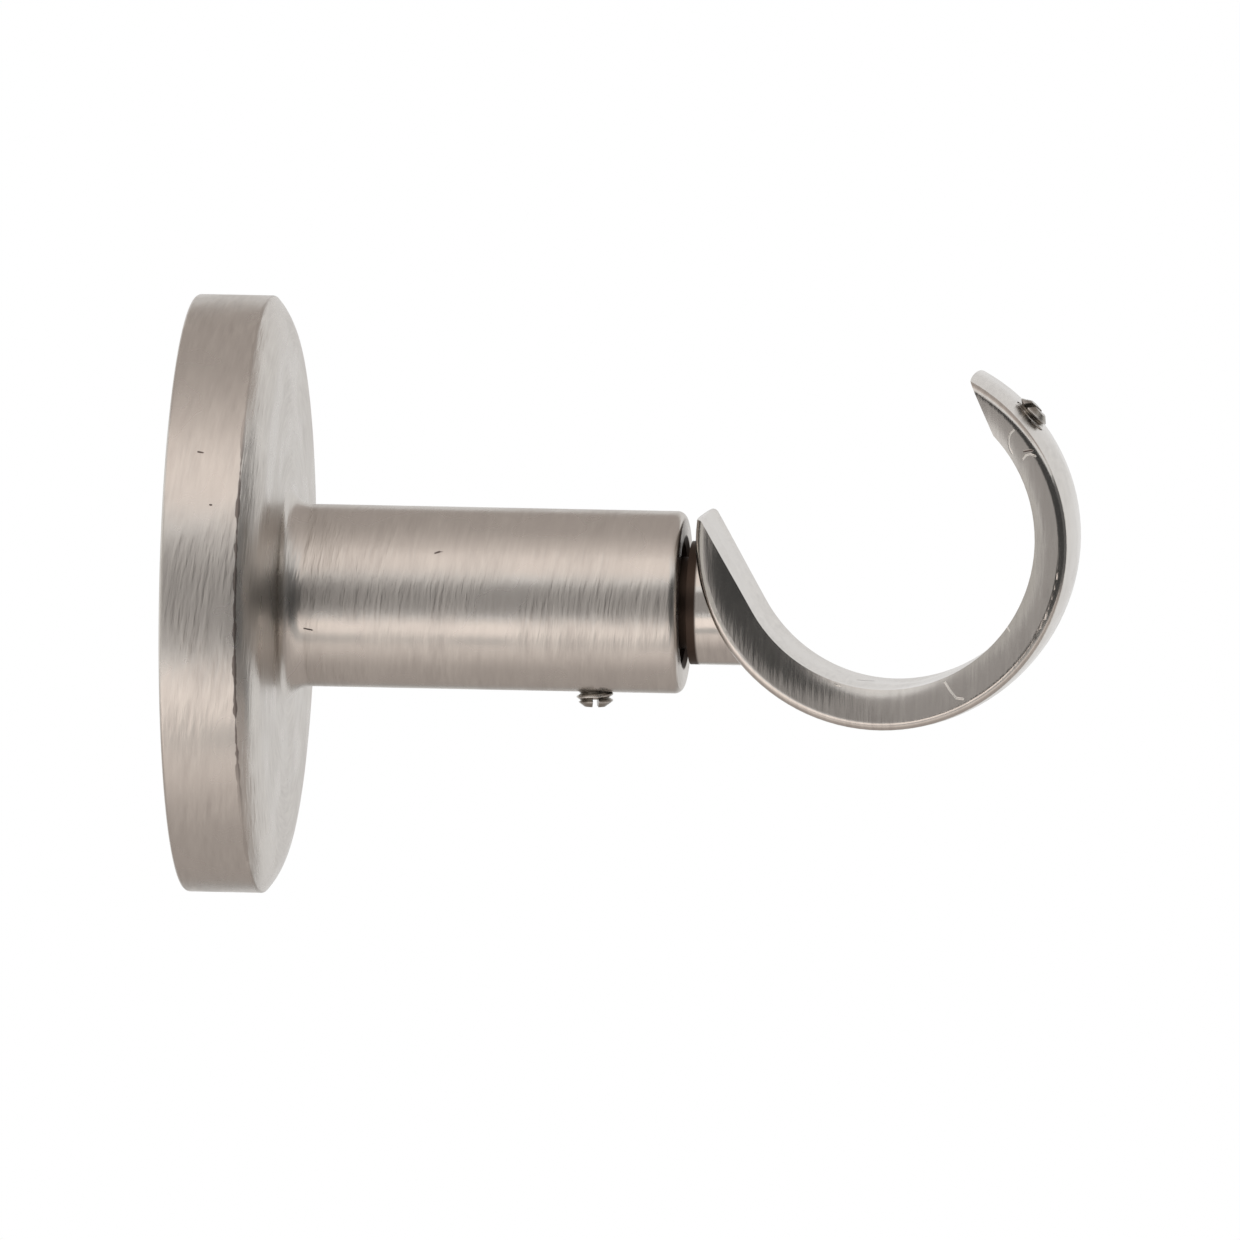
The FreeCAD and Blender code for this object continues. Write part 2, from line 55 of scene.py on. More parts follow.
def node(tree, kind, inputs=None, **settings):
    """One node, with its settings, and its inputs given as numbers, colours or other nodes' sockets."""
    made = tree.nodes.new("ShaderNode" + kind)
    for key, value in settings.items():
        setattr(made, key, value)
    for key, value in (inputs or {}).items():
        if isinstance(value, bpy.types.NodeSocket):
            tree.links.new(value, made.inputs[key])
        else:
            made.inputs[key].default_value = value
    return made


def maths(tree, operation, first, second=0.0, clamp=False):
    return node(tree, "Math", {0: first, 1: second}, operation=operation, use_clamp=clamp).outputs[0]


def vector_maths(tree, operation, first, second):
    made = node(tree, "VectorMath", {0: first, 1: second}, operation=operation)
    return made.outputs["Value" if operation in ("DOT_PRODUCT", "LENGTH") else "Vector"]


def ramp(tree, value, low, high, to_low=0.0, to_high=1.0):
    """A smooth step from one level to another as the value goes from low to high."""
    return node(tree, "MapRange", {0: value, 1: low, 2: high, 3: to_low, 4: to_high},
                interpolation_type="SMOOTHSTEP").outputs[0]


def blend(tree, factor, first, second):
    """A mix of two colours, which are sockets or plain colours."""
    colours = [value if isinstance(value, bpy.types.NodeSocket) else (*value, 1) for value in (first, second)]
    made = node(tree, "Mix", {0: factor, 6: colours[0], 7: colours[1]}, data_type="RGBA")
    return made.outputs[2]


def new_group(name, inputs, outputs):
    """An empty group with named sockets, its input node's outputs by name, and its output node."""
    group = bpy.data.node_groups.new(name, "ShaderNodeTree")
    for label, value in inputs.items():
        kind = "NodeSocketVector" if isinstance(value, tuple) else "NodeSocketFloat"
        group.interface.new_socket(label, in_out="INPUT", socket_type=kind).default_value = value
    for label in outputs:
        group.interface.new_socket(label, in_out="OUTPUT", socket_type="NodeSocketFloat")
    return group, group.nodes.new("NodeGroupInput").outputs, group.nodes.new("NodeGroupOutput").inputs


def placed(tree, group, inputs):
    made = node(tree, "Group", node_tree=group)
    for label, value in inputs.items():
        if isinstance(value, bpy.types.NodeSocket):
            tree.links.new(value, made.inputs[label])
        else:
            made.inputs[label].default_value = value
    return made.outputs


# Brush strokes: quick changes across them and slow ones along them, in patches of uneven strength
strokes, given, result = new_group(
    "Brush strokes",
    {"Place": (0.0, 0.0, 0.0), "Strokes per mm": 3.0, "Length in mm": 3.0, "Patch in mm": 7.0,
     "Evenness": 0.4},
    ["Height", "Streak", "Patch"])
across = maths(strokes, "MULTIPLY", given["Strokes per mm"], 1000)
along = maths(strokes, "DIVIDE", 1000, given["Length in mm"])
stretch = node(strokes, "CombineXYZ", {0: across, 1: along, 2: along}).outputs[0]
stretched = vector_maths(strokes, "MULTIPLY", given["Place"], stretch)
fine = node(strokes, "TexNoise", {"Vector": stretched, "Scale": 1.0, "Detail": 2.0, "Roughness": 0.55})
broad = node(strokes, "TexNoise", {"Vector": stretched, "Scale": 0.25, "Detail": 2.0, "Roughness": 0.6})
patch_scale = maths(strokes, "DIVIDE", 1000, given["Patch in mm"])
patches = node(strokes, "TexNoise", {"Vector": given["Place"], "Scale": patch_scale, "Detail": 2.0})
strength = ramp(strokes, patches.outputs[0], 0.38, 0.64, given["Evenness"], 1.0)
height = maths(strokes, "ADD", maths(strokes, "MULTIPLY", fine.outputs[0], 0.6),
               maths(strokes, "MULTIPLY", broad.outputs[0], 0.4))
height = maths(strokes, "MULTIPLY", maths(strokes, "SUBTRACT", height, 0.5), strength)
strokes.links.new(height, result["Height"])
streak = maths(strokes, "ADD", maths(strokes, "MULTIPLY", height, 2.5), 0.5, clamp=True)
strokes.links.new(streak, result["Streak"])
strokes.links.new(patches.outputs[0], result["Patch"])

# Specks: small round pits in the plating, here and there
specks, given, result = new_group("Specks", {"Place": (0.0, 0.0, 0.0), "Spacing in mm": 5.0}, ["Mark"])
speck_scale = maths(specks, "DIVIDE", 1000, given["Spacing in mm"])
dots = node(specks, "TexVoronoi", {"Vector": given["Place"], "Scale": speck_scale})
draw = node(specks, "SeparateXYZ", {0: dots.outputs["Color"]}).outputs[0]
chosen = maths(specks, "GREATER_THAN", draw, 0.9)
dot = ramp(specks, dots.outputs["Distance"], 0.01, 0.024, 1.0, 0.0)
specks.links.new(maths(specks, "MULTIPLY", dot, chosen), result["Mark"])

# One nick: a short mark between two places on the surface
nick, given, result = new_group(
    "Nick",
    {"Place": (0.0, 0.0, 0.0), "From": (0.0, 0.0, 0.0), "To": (0.0, 0.0, 0.001), "Width": 0.0002},
    ["Mark"])
offset = vector_maths(nick, "SUBTRACT", given["Place"], given["From"])
run = vector_maths(nick, "SUBTRACT", given["To"], given["From"])
share = maths(nick, "DIVIDE", vector_maths(nick, "DOT_PRODUCT", offset, run),
              vector_maths(nick, "DOT_PRODUCT", run, run), clamp=True)
nearest = node(nick, "VectorMath", {0: run, "Scale": share}, operation="SCALE").outputs[0]
apart = vector_maths(nick, "LENGTH", vector_maths(nick, "SUBTRACT", offset, nearest), (0.0, 0.0, 0.0))
half = maths(nick, "MULTIPLY", given["Width"], 0.5)
nick.links.new(ramp(nick, apart, maths(nick, "MULTIPLY", half, 0.4), half, 1.0, 0.0), result["Mark"])


def nicks(tree, spot, marks):
    """All the nicks of one list, each as two places and a width in millimetres."""
    total = 0.0
    for first, second, width in marks:
        ends = [tuple(number / 1000 for number in end) for end in (first, second)]
        mark = placed(tree, nick, {"Place": spot, "From": ends[0], "To": ends[1], "Width": width / 1000})
        total = maths(tree, "MAXIMUM", total, mark["Mark"])
    return total


GRAZING_TINT = (0.80, 0.79, 0.78, 1)


def nickel(name, spot_of, place_of, finish, dark_nicks_and_shadow, light_nicks, painted_shade_of, arris_of=None):
    """Satin nickel: the strokes move the colour, the roughness and the surface itself, and a recess is
    darkened with painted shade.
    """
    material = bpy.data.materials.new(name)
    material.use_nodes = True
    tree = material.node_tree
    shader = tree.nodes["Principled BSDF"]
    spot = spot_of(tree)
    brushed = placed(tree, strokes, {"Place": place_of(tree, spot), **finish["strokes"]})
    speckled = placed(tree, specks, {"Place": spot})["Mark"]
    dark = maths(tree, "MAXIMUM", speckled, nicks(tree, spot, dark_nicks_and_shadow))
    light = nicks(tree, spot, light_nicks)
    if arris_of:
        dark = maths(tree, "MAXIMUM", dark, arris_of(tree, spot))
    colour = blend(tree, brushed["Streak"], *finish["colours"])
    colour = blend(tree, dark, colour, (0.16, 0.13, 0.12))
    colour = blend(tree, light, colour, (0.86, 0.84, 0.80))
    # Painted shade: the recess that the mask gives, the bore or the neck, is darkened nearly to black.
    recess_shade = painted_shade_of(tree, spot)
    colour = blend(tree, recess_shade, colour, (0.07, 0.05, 0.04))
    tree.links.new(colour, shader.inputs["Base Color"])
    rough = ramp(tree, brushed["Patch"], 0.35, 0.65, *finish["roughness"])
    rough = maths(tree, "ADD", rough, maths(tree, "MULTIPLY", maths(tree, "MAXIMUM", dark, light), 0.2))
    rough = maths(tree, "ADD", rough, maths(tree, "MULTIPLY", recess_shade, 0.25))
    tree.links.new(rough, shader.inputs["Roughness"])
    sunk = maths(tree, "SUBTRACT", maths(tree, "MULTIPLY", brushed["Height"], finish["depth"]),
                 maths(tree, "MULTIPLY", maths(tree, "MAXIMUM", dark, light), 0.00002))
    bump = node(tree, "Bump", {"Strength": 1.0, "Distance": 1.0, "Height": sunk})
    tree.links.new(bump.outputs[0], shader.inputs["Normal"])
    shader.inputs["Metallic"].default_value = 1.0
    shader.inputs["Specular Tint"].default_value = GRAZING_TINT
    return material


def object_spot(tree):
    return node(tree, "TexCoord").outputs["Object"]


def turned_parts(tree, spot):
    """The distance along the barrel's axis, the distance from it, and the height."""
    parts = node(tree, "SeparateXYZ", {0: spot}).outputs
    outward = node(tree, "CombineXYZ", {1: parts[1], 2: parts[2]}).outputs[0]
    return parts[0], vector_maths(tree, "LENGTH", outward, (0, 0, 0)), parts[2]


STROKE_SLANT = 0.12


def turned_place(tree, spot):
    """Strokes that run round the barrel's axis, on the barrel and on the rose alike."""
    along, radius, high = turned_parts(tree, spot)
    slanted = maths(tree, "MULTIPLY", high, STROKE_SLANT)
    across = maths(tree, "SUBTRACT", maths(tree, "SUBTRACT", along, radius), slanted)
    side = node(tree, "SeparateXYZ", {0: spot}).outputs[1]
    return node(tree, "CombineXYZ", {0: across, 1: side, 2: high}).outputs[0]


def rim_arris(tree, spot):
    """The rim's front corner, where the brush has cut through the plating in its middle stretch."""
    along, radius, high = turned_parts(tree, spot)
    gap = node(tree, "CombineXYZ", {0: maths(tree, "SUBTRACT", along, RIM_LENGTH / 1000),
                                    1: maths(tree, "SUBTRACT", radius, ROSE_RADIUS / 1000)}).outputs[0]
    apart = vector_maths(tree, "LENGTH", gap, (0, 0, 0))
    uneven = node(tree, "TexNoise", {"Vector": spot, "Scale": 420.0, "Detail": 2.0, "Roughness": 0.6})
    reach = ramp(tree, uneven.outputs[0], 0.35, 0.65, 0.00006, 0.00030)
    worn = ramp(tree, maths(tree, "SUBTRACT", apart, reach), -0.00006, 0.00002, 1.0, 0.0)
    middle = ramp(tree, maths(tree, "ABSOLUTE", high), 0.012, 0.021, 0.8, 0.15)
    return maths(tree, "MULTIPLY", worn, middle)


BORE_SHADE_FROM = 0.015
BORE_SHADE_PAST = (0.0003, 0.0006)


def painted_bore_shade(tree, spot):
    """The bore and its mouth, darkened nearly to black as painted shade where the light doesn't reach inside;
    the plating doesn't reach in there either.
    """
    along, radius, high = turned_parts(tree, spot)
    edges = [BORE_RADIUS / 1000 + past for past in BORE_SHADE_PAST]
    inside = ramp(tree, radius, *edges, 1.0, 0.0)
    return maths(tree, "MULTIPLY", inside, maths(tree, "GREATER_THAN", along, BORE_SHADE_FROM))


# Sizes of the turned casting, in millimetres, and the frame's own box for its length and width
low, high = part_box("rose_and_barrel")
ROSE_RADIUS = high[1] * 1000
BARREL_LENGTH = high[0] * 1000
RIM_LENGTH = 7.7
SHOULDER_WIDTH, SHOULDER_RISE, SHOULDER_RADIUS = 5.0, 2.0, 7.9
FACE_RISE = 0.15
BACK_ROUNDING, FRONT_ROUNDING = 0.4, 0.25
BARREL_RADIUS, ROOT_ROUNDING, MOUTH_ROUNDING = 9.15, 2.4, 0.9
BORE_RADIUS, BORE_DEPTH, MOUTH_CHAMFER = 6.25, 31.75, 0.35
CAVITY_RADIUS, CAVITY_DEPTH, CAVITY_ROUNDING = 27.0, 5.2, 0.8
SCREW_HOLE_RADIUS = 1.9
STEPS_ROUND = 240
SPAN = 1.5


def bend(centre, radius, first, last, steps=12):
    """Points of an arc about a centre, from one angle to another in degrees."""
    turns = [math.radians(first + (last - first) * step / steps) for step in range(steps + 1)]
    return [(centre[0] + radius * math.cos(turn), centre[1] + radius * math.sin(turn)) for turn in turns]


def turned_outline():
    """Half of the casting's section, as distances along the axis and from it."""
    rim_end = Vector((RIM_LENGTH, ROSE_RADIUS))
    shoulder_end = rim_end + Vector((SHOULDER_RISE, -SHOULDER_WIDTH))
    chord = shoulder_end - rim_end
    inward = Vector((chord.y, -chord.x)).normalized()
    reach = math.sqrt(SHOULDER_RADIUS ** 2 - chord.length ** 2 / 4)
    shoulder = (rim_end + shoulder_end) / 2 + inward * reach
    corner_rise = ROSE_RADIUS - FRONT_ROUNDING - shoulder.y
    corner = (shoulder.x + math.sqrt((SHOULDER_RADIUS - FRONT_ROUNDING) ** 2 - corner_rise ** 2),
              ROSE_RADIUS - FRONT_ROUNDING)
    corner_turn = math.degrees(math.atan2(corner_rise, corner[0] - shoulder.x))
    shoulder_turn = math.degrees(math.atan2(shoulder_end.y - shoulder.y, shoulder_end.x - shoulder.x))
    root_share = ROOT_ROUNDING / (shoulder_end.y - BARREL_RADIUS)
    root = (shoulder_end.x + FACE_RISE * (1 - root_share) + ROOT_ROUNDING, BARREL_RADIUS + ROOT_ROUNDING)
    cavity = (CAVITY_DEPTH - CAVITY_ROUNDING, CAVITY_RADIUS - CAVITY_ROUNDING)
    back = (BACK_ROUNDING, ROSE_RADIUS - BACK_ROUNDING)
    mouth = (BARREL_LENGTH - MOUTH_ROUNDING, BARREL_RADIUS - MOUTH_ROUNDING)
    return [
        (CAVITY_DEPTH, 0.0), *bend(cavity, CAVITY_ROUNDING, 0, 90, 6), (0.0, CAVITY_RADIUS),
        *bend(back, BACK_ROUNDING, 180, 90, 8),
        *bend(corner, FRONT_ROUNDING, 90, corner_turn, 6),
        *bend(shoulder, SHOULDER_RADIUS, corner_turn, shoulder_turn, 32)[1:],
        *bend(root, ROOT_ROUNDING, 180, 270, 24),
        *bend(mouth, MOUTH_ROUNDING, 90, 0, 12),
        (BARREL_LENGTH, BORE_RADIUS + MOUTH_CHAMFER), (BARREL_LENGTH - MOUTH_CHAMFER, BORE_RADIUS),
        (BARREL_LENGTH - BORE_DEPTH, BORE_RADIUS), (BARREL_LENGTH - BORE_DEPTH, 0.0),
    ]


def in_short_spans(points):
    """The same outline with its long straight stretches divided."""
    divided = [points[0]]
    for first, last in zip(points, points[1:]):
        count = max(1, math.ceil(math.dist(first, last) / SPAN))
        for step in range(1, count + 1):
            divided.append(tuple(a + (b - a) * step / count for a, b in zip(first, last)))
    return divided


def mesh_from(name, made):
    data = bpy.data.meshes.new(name)
    made.to_mesh(data)
    made.free()
    return data


def turned_mesh(name, outline):
    """The outline spun about the X axis; its two ends lie on the axis."""
    mesh = bmesh.new()
    rings = []
    for along, radius in outline:
        turns = [2 * math.pi * step / STEPS_ROUND for step in range(STEPS_ROUND if radius else 1)]
        rings.append([mesh.verts.new((along / 1000, radius * math.cos(turn) / 1000,
                                      radius * math.sin(turn) / 1000)) for turn in turns])
    for first, last in zip(rings, rings[1:]):
        for step in range(STEPS_ROUND):
            after = (step + 1) % STEPS_ROUND
            corners = [first[step % len(first)], first[after % len(first)], last[after % len(last)],
                       last[step % len(last)]]
            mesh.faces.new(list(dict.fromkeys(corners)))
    bmesh.ops.recalc_face_normals(mesh, faces=mesh.faces)
    return mesh_from(name, mesh)


def cut_away(piece, tools):
    """Cut tools out of a piece for good."""
    for tool in tools:
        cut = piece.modifiers.new("Cut", "BOOLEAN")
        cut.object = tool
        cut.solver = "EXACT"
    bpy.context.view_layer.update()
    mesh = bpy.data.meshes.new_from_object(piece.evaluated_get(bpy.context.evaluated_depsgraph_get()))
    piece.modifiers.clear()
    mesh.name = piece.data.name
    piece.data = mesh
    for tool in tools:
        bpy.data.objects.remove(tool)


def new_object(name, data, place=Matrix()):
    made = bpy.data.objects.new(name, data)
    bpy.context.scene.collection.objects.link(made)
    made.matrix_world = place
    return made


def drill(along, top, bottom):
    """A round tool that stands upright under the axis, between two heights."""
    mesh = bmesh.new()
    bmesh.ops.create_cone(mesh, cap_ends=True, segments=64, radius1=SCREW_HOLE_RADIUS / 1000,
                          radius2=SCREW_HOLE_RADIUS / 1000, depth=(top - bottom) / 1000)
    place = Matrix.Translation((along / 1000, 0, (top + bottom) / 2000))
    return new_object("Drill", mesh_from("Drill", mesh), place)


def middle_of(cad_name):
    low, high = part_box(cad_name)
    return (low[0] + high[0]) * 500


base = new_object("rose_and_barrel_turned",
                  turned_mesh("rose_and_barrel_turned", in_short_spans(turned_outline())))
cut_away(base, [drill(middle_of("barrel_set_screw"), 0, -BARREL_RADIUS - 1),
                drill(middle_of("rose_grub_screw"), 1 - CAVITY_RADIUS, -ROSE_RADIUS - 1)])
base.data.polygons.foreach_set("use_smooth", [True] * len(base.data.polygons))
base.data.set_sharp_from_angle(angle=math.radians(30))


NICKEL_COLOURS = ((0.56, 0.53, 0.50), (0.70, 0.67, 0.63))
turned_nickel = nickel(
    "Turned satin nickel", object_spot, turned_place,
    {"strokes": {"Strokes per mm": 2.2, "Length in mm": 3.4, "Evenness": 0.3}, "colours": NICKEL_COLOURS,
     "roughness": (0.26, 0.34), "depth": 0.00012},
    [((25.3, -7.55, 5.05), (25.7, -7.50, 5.2), 0.3), ((25.7, -7.50, 5.2), (26.1, -7.45, 5.2), 0.16),
     ((12.3, -8.75, -2.65), (13.1, -8.70, -2.80), 0.18), ((3.3, -25.25, 16.2), (3.8, -25.25, 16.1), 0.24),
     ((4.85, -27.86, 11.1), (5.0, -27.86, 11.1), 0.22)],
    [], painted_bore_shade, rim_arris)
base.data.materials.append(turned_nickel)
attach(base, "wall_base")
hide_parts("rose_and_barrel")

# Wall plate
# A bare zinc casting, screwed to the wall inside the rose. It isn't plated, and looks dull and grainy.
plate_metal = bpy.data.materials.new("Bare cast zinc")
plate_metal.use_nodes = True
tree = plate_metal.node_tree
shader = tree.nodes["Principled BSDF"]
spot = object_spot(tree)
grain = node(tree, "TexNoise", {"Vector": spot, "Scale": 1800.0, "Detail": 3.0, "Roughness": 0.6}).outputs[0]
cloud = node(tree, "TexNoise", {"Vector": spot, "Scale": 220.0, "Detail": 3.0}).outputs[0]
colour = blend(tree, ramp(tree, cloud, 0.3, 0.7), (0.36, 0.37, 0.39), (0.50, 0.51, 0.53))
tree.links.new(colour, shader.inputs["Base Color"])
tree.links.new(ramp(tree, grain, 0.3, 0.7, 0.42, 0.58), shader.inputs["Roughness"])
bump = node(tree, "Bump", {"Strength": 0.5, "Distance": 0.00004, "Height": grain})
tree.links.new(bump.outputs[0], shader.inputs["Normal"])
shader.inputs["Metallic"].default_value = 1.0
plate = frame["nodes"]["wall_plate"]
plate.data.materials.clear()
plate.data.materials.append(plate_metal)

# Hook arm
# The second casting: the open hook, its boss and the spigot in the barrel, plated as the rose is and
# brushed up and down on a belt, with a few marks from the pole and from handling.


def straight_place(tree, spot):
    return spot


NECK_START, NECK_END = (0.0480, 0.0492), (0.0512, 0.0515)


def painted_neck_shade(tree, spot):
    """The neck between boss and spigot, darkened nearly to black as painted shade in the gap at the barrel's
    mouth.
    """
    along = node(tree, "SeparateXYZ", {0: spot}).outputs[0]
    before = ramp(tree, along, *NECK_END, 1.0, 0.0)
    return maths(tree, "MULTIPLY", before, ramp(tree, along, *NECK_START))


def scratch(points, width):
    """Nicks end to end through places on the surface."""
    return [(first, last, width) for first, last in zip(points, points[1:])]


CURVED_SCRATCH = [(83.4, -7.69, 18.55), (83.06, -7.65, 18.18), (82.92, -7.6, 17.71), (82.91, -7.56, 17.17),
                  (83.01, -7.51, 16.7), (83.25, -7.5, 16.2)]
BENT_SCRATCH = [(84.36, -7.6, 15.65), (84.69, -7.65, 16.08), (85.11, -7.69, 16.21), (85.62, -7.68, 16.01)]
LOW_SCRATCH = [(76.75, -7.27, -6.87), (77.28, -7.49, -7.65), (77.91, -7.64, -8.43), (78.62, -7.68, -8.51)]
hook_nickel = nickel(
    "Brushed satin nickel", object_spot, straight_place,
    {"strokes": {"Strokes per mm": 3.0, "Length in mm": 3.0}, "colours": NICKEL_COLOURS,
     "roughness": (0.16, 0.22), "depth": 0.00003},
    scratch([(67.2, 0.3, -7.48), (68.65, 2.3, -7.72)], 0.3)
    # Painted shadow: a dark strip above the bent scratch, drawn as a nick.
    + scratch([(84.5, -7.65, 16.45), (85.3, -7.69, 16.6)], 0.25),
    scratch(CURVED_SCRATCH, 0.22) + scratch(BENT_SCRATCH, 0.22) + scratch(LOW_SCRATCH, 0.26)
    + scratch([(82.6, -7.2, -0.7), (83.2, -7.3, -1.6)], 0.2)
    + scratch([(60.45, -5.71, -4.11), (61.99, -5.82, -5.28), (63.57, -6.45, -6.2)], 0.14)
    + scratch([(65.0, -7.0, -7.2), (66.2, -7.2, -7.5)], 0.18),
    painted_neck_shade)
hook = frame["nodes"]["hook_arm"]
hook.data.materials.clear()
hook.data.materials.append(hook_nickel)
softened = hook.modifiers.new("Softened arrises", "BEVEL")
softened.width = 0.0002
softened.segments = 2
softened.limit_method = "ANGLE"
softened.angle_limit = math.radians(35)

# Set screws
# Three headless M4 screws in plated steel: rolled thread, turned point inside, and at the outer end a
# wide turned chamfer with a sawn slot. One locks the arm, one draws the rose onto its plate, and one
# holds the pole.
SCREW_RADIUS = 0.00185
THREAD_PITCH = 0.0007
THREAD_DEPTH = 0.0004
TURNS_OF_GRID = 64
ROWS_PER_PITCH = 12
POINT = (0.0011, 0.0005)
END_CHAMFER = (0.0008, 0.0006)
SLOT = (0.0006, 0.0008)


def screw_surface_radius(along, angle, length):
    """The radius of the thread at a place along the screw, within the turned point and chamfer."""
    turn = (along / THREAD_PITCH - angle / (2 * math.pi)) % 1
    flank = min(1.0, max(0.0, (abs(2 * turn - 1) - 0.1) / 0.7))
    radius = SCREW_RADIUS - THREAD_DEPTH * (1 - flank)
    point = POINT[0] + (SCREW_RADIUS - POINT[0]) * along / POINT[1]
    chamfer = SCREW_RADIUS - END_CHAMFER[0] * (1 - (length - along) / END_CHAMFER[1])
    return min(radius, point, chamfer)


def threaded_screw(name, length, slot_turn):
    mesh = bmesh.new()
    rows = math.ceil(length / THREAD_PITCH * ROWS_PER_PITCH)
    rings = []
    for row in range(rows + 1):
        along = length * row / rows
        ring = []
        for step in range(TURNS_OF_GRID):
            angle = 2 * math.pi * step / TURNS_OF_GRID
            radius = screw_surface_radius(along, angle, length)
            ring.append(mesh.verts.new((radius * math.cos(angle), radius * math.sin(angle), along)))
        rings.append(ring)
    for low, high in zip(rings, rings[1:]):
        for step in range(TURNS_OF_GRID):
            after = (step + 1) % TURNS_OF_GRID
            mesh.faces.new((low[step], low[after], high[after], high[step]))
    mesh.faces.new(list(reversed(rings[0])))
    mesh.faces.new(rings[-1])
    for face in mesh.faces:
        face.smooth = len(face.verts) == 4
    body = mesh_from(name, mesh)

    saw = bmesh.new()
    size = Matrix.Diagonal((3 * SCREW_RADIUS, SLOT[0], 2 * SLOT[1], 1))
    turned = Matrix.Translation((0, 0, length)) @ Matrix.Rotation(slot_turn, 4, "Z")
    bmesh.ops.create_cube(saw, size=1, matrix=turned @ size)
    blade_mesh = mesh_from(name + "_saw", saw)
    piece = new_object(name, body)
    cut_away(piece, [new_object(name + "_saw", blade_mesh)])
    return piece


screw_steel = bpy.data.materials.new("Plated screw steel")
screw_steel.use_nodes = True
tree = screw_steel.node_tree
shader = tree.nodes["Principled BSDF"]
spot = object_spot(tree)
parts = node(tree, "SeparateXYZ", {0: spot}).outputs
outward = node(tree, "CombineXYZ", {0: parts[0], 1: parts[1]}).outputs[0]
radius = vector_maths(tree, "LENGTH", outward, (0, 0, 0))
# Painted shade: the thread is darker in its roots than on its crests.
root_shade_ramp = ramp(tree, radius, SCREW_RADIUS - THREAD_DEPTH, SCREW_RADIUS)
soil = node(tree, "TexNoise", {"Vector": spot, "Scale": 900.0, "Detail": 3.0}).outputs[0]
colour = blend(tree, root_shade_ramp, (0.30, 0.28, 0.25), (0.66, 0.64, 0.61))
colour = blend(tree, ramp(tree, soil, 0.5, 0.75, 0.0, 0.5), colour, (0.22, 0.20, 0.18))
tree.links.new(colour, shader.inputs["Base Color"])
tree.links.new(ramp(tree, soil, 0.3, 0.7, 0.22, 0.38), shader.inputs["Roughness"])
shader.inputs["Metallic"].default_value = 1.0


def axis_frame(start, direction):
    """Local Z along the screw, from its point outwards, with local Y along the pole."""
    across = Vector((0, 1, 0)).cross(direction).normalized()
    turned = Matrix((across, direction.cross(across), direction)).transposed().to_4x4()
    return Matrix.Translation(start) @ turned


record = frame["record"]
seat = next(mount for mount in record["mounts"] if mount["name"] == "pole_seat")
travel = next(joint for joint in record["behaviour"]["joints"] if joint["name"] == "pole_screw_travel")
lean = Vector(travel["axis"])
STAND_IN = 0.00018
POLE_SCREW_LENGTH = 0.0045
pole_point = Vector(seat["pos_m"]) + lean * (seat["dims"]["r_mm"] / 1000 - STAND_IN)
down = Vector((0, 0, -1))
places = []
for cad_name in ("barrel_set_screw", "rose_grub_screw"):
    low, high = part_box(cad_name)
    start = Vector(((low[0] + high[0]) / 2, 0, high[2]))
    places.append((cad_name, start, down, high[2] - low[2]))
places.append(("pole_screw", pole_point, lean, POLE_SCREW_LENGTH))
for (cad_name, start, direction, length), body_name, turn in zip(
        places, ("barrel_screw", "rose_screw", "retaining_screw"), (80, 20, 55)):
    screw = threaded_screw(cad_name + "_threaded", length, math.radians(turn))
    screw.matrix_world = axis_frame(start, direction)
    screw.data.materials.append(screw_steel)
    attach(screw, body_name)
    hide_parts(cad_name)

# Floor
# A plain pale floor half a metre below, which fades into the white room.
MIDDLE_X = 0.045
FLOOR_DROP = 0.5
FLOOR_RADIUS = 1.3
floor_mesh = bmesh.new()
bmesh.ops.create_circle(floor_mesh, cap_ends=True, segments=96, radius=FLOOR_RADIUS)
floor_data = mesh_from("Floor", floor_mesh)
floor = new_object("Floor", floor_data, Matrix.Translation((MIDDLE_X, 0, -FLOOR_DROP)))
pale = bpy.data.materials.new("Pale floor")
pale.use_nodes = True
tree = pale.node_tree
shader = tree.nodes["Principled BSDF"]
shader.inputs["Base Color"].default_value = (0.8, 0.8, 0.79, 1)
shader.inputs["Roughness"].default_value = 0.9
shader.inputs["Specular IOR Level"].default_value = 0.0
centre_gap = vector_maths(tree, "LENGTH", object_spot(tree), (0, 0, 0))
fade = ramp(tree, centre_gap, FLOOR_RADIUS * 0.6, FLOOR_RADIUS)
clear = node(tree, "BsdfTransparent")
mixed = node(tree, "MixShader", {0: fade, 1: shader.outputs[0], 2: clear.outputs[0]})
tree.links.new(mixed.outputs[0], tree.nodes["Material Output"].inputs["Surface"])
floor_data.materials.append(pale)

# Studio
# A white room with one soft lamp in front and above. The metal reflects a bright panel in its place and
# another below, grey panels overhead and underneath, and dark cards before it, which draw the dark band
# along the barrel.
world = bpy.data.worlds.new("White room")
bpy.context.scene.world = world
world.use_nodes = True
tree = world.node_tree
light_path = node(tree, "LightPath").outputs
seen = maths(tree, "MAXIMUM", light_path["Is Camera Ray"], light_path["Is Glossy Ray"])
seen = maths(tree, "MAXIMUM", seen, light_path["Is Transmission Ray"])
AMBIENT = 0.55
level = node(tree, "MapRange", {0: seen, 3: AMBIENT, 4: 1.0}).outputs[0]
background = tree.nodes["Background"]
background.inputs[0].default_value = (1, 1, 1, 1)
tree.links.new(level, background.inputs[1])
bpy.context.scene.view_settings.view_transform = "Standard"


def direction_of(azimuth, elevation):
    """Azimuth 0 is straight in front of the bracket, on the camera's side, and 90 is beyond the hook."""
    around, up = math.radians(azimuth), math.radians(elevation)
    return Vector((math.sin(around) * math.cos(up), -math.cos(around) * math.cos(up), math.sin(up)))


def facing(azimuth, elevation, away):
    """A place some way off in that direction, turned to face the bracket."""
    back = direction_of(azimuth, elevation)
    turned = back.to_track_quat("Z", "Y").to_matrix().to_4x4()
    return Matrix.Translation(Vector((MIDDLE_X, 0, 0)) + back * away) @ turned


